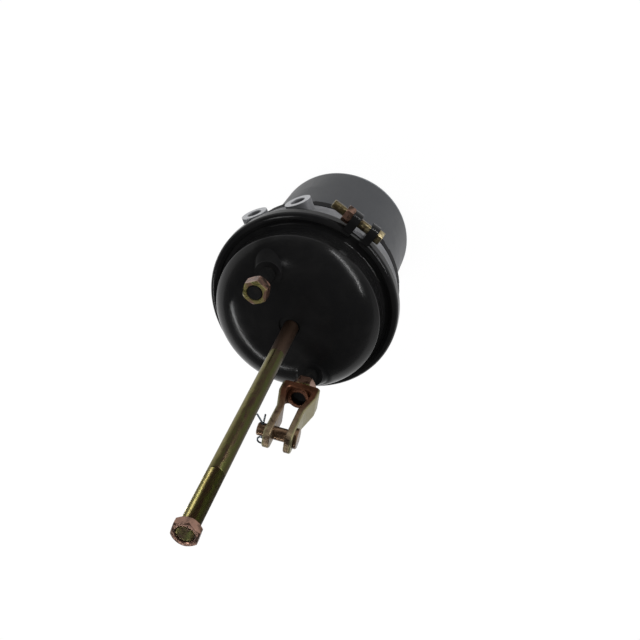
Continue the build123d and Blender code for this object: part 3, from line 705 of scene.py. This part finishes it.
def even_world(s):
    """World that is white to the camera, even as light, and darker overhead in mirrors."""
    world = bpy.data.worlds.new("studio_world")
    world.use_nodes = True
    tree = world.node_tree
    background = tree.nodes["Background"]
    background.inputs["Color"].default_value = (1, 1, 1, 1)
    path = tree.nodes.new("ShaderNodeLightPath")
    around = tree.nodes.new("ShaderNodeTexCoord")
    height = axis_part(tree, around.outputs["Generated"], "Z")
    mirrored = span(tree, height, 0.0, 0.35, s.horizon, s.ceiling)
    shine = calc(tree, "MULTIPLY", path.outputs["Is Glossy Ray"], calc(tree, "SUBTRACT", mirrored, s.world))
    clear = calc(tree, "MAXIMUM", path.outputs["Is Camera Ray"], path.outputs["Is Transmission Ray"])
    straight = calc(tree, "MULTIPLY", clear, 1.0 - s.world)
    kinds = calc(tree, "ADD", calc(tree, "ADD", shine, straight), s.world)
    tree.links.new(kinds, background.inputs["Strength"])
    return world


# Operators, one for each piece or group of like pieces


class CHAMBER_OT_bowl(bpy.types.Operator):
    """Paint the service bowl"""

    bl_idname = "chamber.bowl"
    bl_label = "Service bowl"

    def execute(self, context):
        paint_nodes(bowl_paint(context), "service_bowl")
        return {"FINISHED"}


class CHAMBER_OT_studs(bpy.types.Operator):
    """Cut the threads of the two mounting studs and plate their nuts"""

    bl_idname = "chamber.studs"
    bl_label = "Mounting studs and nuts"

    def execute(self, context):
        s = context.scene.chamber_thread
        blacked = plating("stud_black", [(0.004, 0.004, 0.004), (0.006, 0.006, 0.006), (0.010, 0.009, 0.008)], 90.0,
                          rough=0.6, metallic=0.0)
        blacked.node_tree.nodes["Principled BSDF"].inputs["IOR"].default_value = STUD_IOR
        low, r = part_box("mounting_stud_1")[0][2], s.stud_radius
        seat, flange, neck = low + STUD_HEAD, r + STUD_FLANGE, r + STUD_NECK
        for number, x in ((1, STUD_X), (2, -STUD_X)):
            root = revolved([(0, low), (flange - STUD_CHAMFER, low), (flange, low + STUD_CHAMFER), (flange, seat),
                             (neck, seat), (neck, 0.0), (0, 0.0)])
            bar = thread(r, s.depth, s.pitch, 0.0, STUD_TOP, s.steps)
            bm = joined(bar, root)
            bmesh.ops.translate(bm, vec=(x, 0, 0), verts=bm.verts)
            smooth_by_angle(bm, 40)
            stud = new_piece(f"threaded_stud_{number}", bm, "housing", [f"mounting_stud_{number}"])
            coat(stud, blacked)
        for nut in ("stud_nut_1", "stud_nut_2"):
            paint_nodes(nut_plating(context, nut + "_zinc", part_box(nut)[1][2]), nut)
        return {"FINISHED"}


class CHAMBER_OT_push_rod(bpy.types.Operator):
    """Make the leaning push rod with its long thread, and plate its nut and plate"""

    bl_idname = "chamber.push_rod"
    bl_label = "Push rod"

    def execute(self, context):
        s = context.scene.chamber_thread
        along, middle = rod_line()
        pivot = middle - along * (middle.z / along.z)
        reach = [(v.co - pivot).dot(along) for v in NODES["push_rod"].data.vertices]
        z0, z1 = min(reach), max(reach)
        cut = z1 - s.rod_thread
        r = s.stud_radius
        shank = revolved([(0, z0), (r, z0), (r, cut - RUN_OUT), (r - s.depth, cut), (0, cut)], 64)
        bar = thread(r, s.depth, s.pitch, cut - BITE, z1, s.steps, 0.0011)
        bm = joined(bar, shank)
        turn = Vector((0, 0, 1)).rotation_difference(along).to_matrix().to_4x4()
        bmesh.ops.transform(bm, matrix=Matrix.Translation(pivot) @ turn, verts=bm.verts)
        smooth_by_angle(bm, 40)
        zinc = rod_plating(context, pivot, along, r, pivot.z + along.z * cut)
        coat(new_piece("threaded_push_rod", bm, "rod", ["push_rod"]), zinc)
        paint_nodes(nut_plating(context, "tip_nut_zinc", 1.0, TIP_PITTING), "push_rod_nut")
        paint_nodes(zinc, "push_plate")
        return {"FINISHED"}


class CHAMBER_OT_dust_disc(bpy.types.Operator):
    """Make the rubber dust disc that closes the bowl's hole round the leaning rod"""

    bl_idname = "chamber.dust_disc"
    bl_label = "Dust disc"

    def execute(self, context):
        s = context.scene.chamber_thread
        along, middle = rod_line()
        centre = middle + along * ((s.disc_height - middle.z) / along.z)
        bm = bmesh.new()
        for radius, x, y in ((s.disc_radius, 0.0, 0.0), (s.stud_radius + DISC_PLAY, centre.x, centre.y)):
            bmesh.ops.create_circle(bm, cap_ends=False, segments=64, radius=radius,
                                    matrix=Matrix.Translation((x, y, s.disc_height)))
        bmesh.ops.bridge_loops(bm, edges=bm.edges[:])
        grown = bmesh.ops.extrude_face_region(bm, geom=bm.faces[:])["geom"]
        bmesh.ops.translate(bm, vec=(0, 0, -DISC_WALL), verts=[g for g in grown if isinstance(g, bmesh.types.BMVert)])
        bmesh.ops.recalc_face_normals(bm, faces=bm.faces)
        smooth_by_angle(bm, 40)
        disc = new_piece("rod_dust_disc", bm, "housing")
        coat(disc, rubber("dust_rubber", [v * 0.25 for v in context.scene.chamber_paint.rubber], DUST_IOR))
        return {"FINISHED"}


class CHAMBER_OT_clamp(bpy.types.Operator):
    """Paint the clamp and make its bolt with a hexagon head and thread"""

    bl_idname = "chamber.clamp"
    bl_label = "Clamp and bolt"

    def execute(self, context):
        s = context.scene.chamber_thread
        c = context.scene.chamber_plating
        paint_nodes(black_gloss(context), "clamp_band")
        paint_nodes(nut_plating(context, "clamp_nut_zinc", 1.0), "clamp_nut")
        verts = [v.co for v in NODES["clamp_bolt"].data.vertices]
        low, high = (Vector(corner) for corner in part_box("clamp_bolt"))
        along = Vector((-math.sin(JOINT_TURN), math.cos(JOINT_TURN), 0))
        out = Vector((math.cos(JOINT_TURN), math.sin(JOINT_TURN), 0))
        reach = [v.dot(along) for v in verts]
        shank = [v for v in verts if v.dot(along) > max(reach) - 0.002]
        middle = out * (max(v.dot(out) for v in shank) + min(v.dot(out) for v in shank)) / 2
        middle.z = (low.z + high.z) / 2
        head = [v for v in verts if v.dot(along) < min(reach) + 0.001]
        flats = max(v.z for v in head) - min(v.z for v in head)
        under = min(reach) + s.bolt_head
        r, tip, depth = s.bolt_radius, max(reach), s.depth * BOLT_DEPTH
        cut, foot = tip - s.bolt_thread, under - 0.0005
        bolt = joined(
            thread(r, depth, s.bolt_pitch, cut - BITE, tip, s.steps),
            revolved([(0, foot), (r, foot), (r, cut - BOLT_RUN_OUT), (r - depth, cut), (0, cut)], 48),
            hexagon(flats, min(reach), under, HEAD_EDGE))
        turn = Matrix((out.cross(along), -out, along)).transposed().to_4x4()
        bmesh.ops.transform(bolt, matrix=Matrix.Translation(middle) @ turn, verts=bolt.verts)
        bmesh.ops.recalc_face_normals(bolt, faces=bolt.faces)
        smooth_by_angle(bolt, 40)
        zinc = plating("bolt_zinc", [c.umber, (0.12, 0.095, 0.05), (0.2, 0.17, 0.1), (0.32, 0.28, 0.18)], 110.0)
        coat(new_piece("threaded_clamp_bolt", bolt, "housing", ["clamp_bolt"]), zinc)
        return {"FINISHED"}


class CHAMBER_OT_case(bpy.types.Operator):
    """Finish the cast case and cut the threads in its two ports"""

    bl_idname = "chamber.case"
    bl_label = "Flange case and ports"

    def execute(self, context):
        s = context.scene.chamber_thread
        c = context.scene.chamber_paint
        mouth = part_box("flange_case")[1][0]
        paint_nodes(casting("cast_aluminium", c.casting, mouth), "flange_case")
        turned = casting("turned_port", [v * 1.6 for v in c.casting])
        lips = [v.co for v in NODES["flange_case"].data.vertices if v.co.x > mouth - 0.0002]
        level = (max(v.z for v in lips) + min(v.z for v in lips)) / 2
        for number, y in ((1, PORT_Y), (2, -PORT_Y)):
            bore = min(math.hypot(v.y - y, v.z - level) for v in lips)
            bm = inner_thread(bore + RIB_SINK, s.port_depth, s.port_pitch, s.port_run, s.steps)
            start = Matrix.Translation((mouth - PORT_INSET - s.port_run, y, level))
            place = start @ Matrix.Rotation(math.pi / 2, 4, "Y")
            bmesh.ops.transform(bm, matrix=place, verts=bm.verts)
            coat(new_piece(f"port_thread_{number}", bm, "housing"), turned)
        return {"FINISHED"}


class CHAMBER_OT_housing(bpy.types.Operator):
    """Paint the spring housing and its lock ring"""

    bl_idname = "chamber.housing"
    bl_label = "Spring housing"

    def execute(self, context):
        c = context.scene.chamber_paint
        paint_nodes(satin_paint("satin_grey", c.housing, [v * 1.8 for v in c.housing], c.highlight_line), "spring_housing")
        paint_nodes(gloss_paint("ring_enamel", c.ring, c.dust, 0.04, 0.4, RING_IOR), "lock_ring")
        return {"FINISHED"}


class CHAMBER_OT_inside(bpy.types.Operator):
    """Finish the diaphragm, seals, springs, piston and release bolt"""

    bl_idname = "chamber.inside"
    bl_label = "Pieces inside"

    def execute(self, context):
        s = context.scene.chamber_inside
        c = context.scene.chamber_paint
        moulded = rubber("black_rubber", c.rubber)
        paint_nodes(moulded, "piston_seal", "tube_seal", "housing_o_ring")
        low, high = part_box("service_diaphragm")
        rim, wall = high[0], s.diaphragm_wall
        floor, seat = low[2] + wall, high[2] - wall
        flare, rise = s.cup_mouth - s.cup_floor, high[2] - floor
        flank = [(s.cup_floor + flare * i / FLANK_STEPS, floor + rise * i / FLANK_STEPS)
                 for i in range(FLANK_STEPS + 1)]
        back = [(r + BEAD_STEP, z - wall) for r, z in reversed(flank)]
        cup = revolved([(0, floor), *flank, (rim, high[2]), (rim, seat), *back, (0, low[2])], 96)
        smooth_by_angle(cup, 30)
        cup = coat(new_piece("rolling_diaphragm", cup, None, ["service_diaphragm"]), moulded)
        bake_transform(cup)
        paint_nodes(rubber("guide_nylon", (0.35, 0.33, 0.28)), "piston_guide_ring")
        blued = gloss_paint("spring_blue_black", (0.012, 0.014, 0.02), c.dust, 0.03, 0.3)
        low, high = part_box("return_spring")
        cone = coil(s.return_foot, s.return_top, s.return_wire, low[2], high[2], s.return_turns)
        cone = coat(new_piece("return_coil", cone, "housing", ["return_spring"]), blued)
        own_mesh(cone)
        low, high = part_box("power_spring")
        straight = coil(s.power_radius, s.power_radius, s.power_wire, low[2], high[2], s.power_turns)
        straight = coat(new_piece("power_coil", straight, None, ["power_spring"]), blued)
        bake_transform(straight)
        paint_nodes(casting("piston_casting", c.casting), "power_piston", "contact_pad")
        paint_nodes(plating("tube_zinc", [(0.45, 0.45, 0.46), (0.55, 0.56, 0.58)], 30.0, rough=0.22),
                    "piston_tube", "release_bolt", "release_nut")
        return {"FINISHED"}


class CHAMBER_OT_clevis(bpy.types.Operator):
    """Finish the clevis, its pin and the split pin"""

    bl_idname = "chamber.clevis"
    bl_label = "Clevis and pins"

    def execute(self, context):
        c = context.scene.chamber_plating
        mat, tree, shader = finish("clevis_plating", Metallic=0.75)
        place = object_place(tree)
        cloud = noise(tree, place, 70.0, 5.0, 0.6, 0.6)
        pits = noise(tree, place, 1300.0, 3.0)
        height = axis_part(tree, place, "Z")
        pin_way = Vector((math.cos(PIN_TURN), math.sin(PIN_TURN), 0))
        off = calc(tree, "ABSOLUTE", calc(tree, "ADD", dot(tree, place, pin_way), STUD_X * pin_way.x), 0.0)
        # Painted shade: down inside the fork the zinc is painted dark red-brown, fading to the beige of the ends.
        inner_shade = ramp(tree, cloud, (0.35, [v * 0.6 for v in c.fork_shade]), (0.6, c.fork_shade))
        ends = ramp(tree, cloud, (0.34, c.umber), (0.46, (0.17, 0.12, 0.075)), (0.6, (0.22, 0.17, 0.10)),
                    (0.72, c.beige))
        tone = blended(tree, span(tree, height, *FORK_Z), inner_shade, ends)
        outer = calc(tree, "SUBTRACT", off, span(tree, height, *FLARE_Z, *FLARE_REACH))
        cheek = blended(tree, cloud, (0.13, 0.12, 0.06), c.beige)
        tone = blended(tree, span(tree, outer, -0.0024, -0.0014), tone, cheek)
        tone = blended(tree, span(tree, pits, 0.58, 0.7, 0.0, 0.5), tone, [v * 0.4 for v in c.fork_shade])
        tree.links.new(tone, shader.inputs["Base Color"])
        tree.links.new(span(tree, cloud, 0.3, 0.7, 0.34, 0.52), shader.inputs["Roughness"])
        bump(tree, shader, pits, 0.25, 0.0004)
        paint_nodes(mat, "clevis")
        paint_nodes(plating("pin_brown", [(0.04, 0.022, 0.014), (0.14, 0.085, 0.05), (0.28, 0.19, 0.12)], 90.0),
                    "clevis_pin")
        paint_nodes(plating("split_pin_steel", [c.steel, [v * 1.5 for v in c.steel]], 120.0, rough=0.32), "split_pin")
        return {"FINISHED"}


class CHAMBER_OT_studio(bpy.types.Operator):
    """Set the camera, the pale floor and the soft lamps"""

    bl_idname = "chamber.studio"
    bl_label = "Studio"

    def execute(self, context):
        s = context.scene.chamber_studio
        context.scene.camera = camera(s)
        pale_floor(s)
        context.scene.world = even_world(s)
        lamp("front_strip", (1.09, -1.17, 0.05), (-0.30, -1.52, 0.42), 0.05, s.key * 1.9)
        lamp("back_strip", (0.02, 1.46, 0.62), (-1.05, 0.86, 1.06), 0.05, s.key * 1.25)
        lamp("high_box", (0.95, 0.70, 1.5), (1.25, 0.30, 1.5), 0.5, s.key)
        context.scene.view_settings.view_transform = "Standard"
        return {"FINISHED"}


class CHAMBER_PT_sidebar(bpy.types.Panel):
    """Lists the pieces and the studio"""

    bl_idname = "CHAMBER_PT_sidebar"
    bl_label = "Brake chamber"
    bl_space_type = "VIEW_3D"
    bl_region_type = "UI"
    bl_category = "Brake chamber"

    def draw(self, context):
        for group in ("chamber_thread", "chamber_inside", "chamber_paint", "chamber_plating", "chamber_studio"):
            box = self.layout.box()
            settings = getattr(context.scene, group)
            for key in settings.__annotations__:
                box.prop(settings, key)
        for operator in OPERATORS:
            self.layout.operator(operator.bl_idname)


SETTINGS = {
    "chamber_thread": ThreadSizes,
    "chamber_inside": InsideSizes,
    "chamber_paint": PaintColours,
    "chamber_plating": PlatingColours,
    "chamber_studio": StudioSizes,
}
OPERATORS = (CHAMBER_OT_bowl, CHAMBER_OT_studs, CHAMBER_OT_push_rod, CHAMBER_OT_dust_disc, CHAMBER_OT_clamp,
             CHAMBER_OT_case, CHAMBER_OT_housing, CHAMBER_OT_inside, CHAMBER_OT_clevis, CHAMBER_OT_studio)


def register():
    for cls in (*SETTINGS.values(), *OPERATORS, CHAMBER_PT_sidebar):
        bpy.utils.register_class(cls)
    for name, cls in SETTINGS.items():
        setattr(bpy.types.Scene, name, PointerProperty(type=cls))


def unregister():
    for name in SETTINGS:
        delattr(bpy.types.Scene, name)
    for cls in (CHAMBER_PT_sidebar, *reversed(OPERATORS), *reversed(SETTINGS.values())):
        bpy.utils.unregister_class(cls)


def main():
    register()
    for operator in (bpy.ops.chamber.bowl, bpy.ops.chamber.studs, bpy.ops.chamber.push_rod,
                     bpy.ops.chamber.dust_disc, bpy.ops.chamber.clamp, bpy.ops.chamber.case,
                     bpy.ops.chamber.housing, bpy.ops.chamber.inside, bpy.ops.chamber.clevis,
                     bpy.ops.chamber.studio):
        operator()


if __name__ == "__main__":
    main()
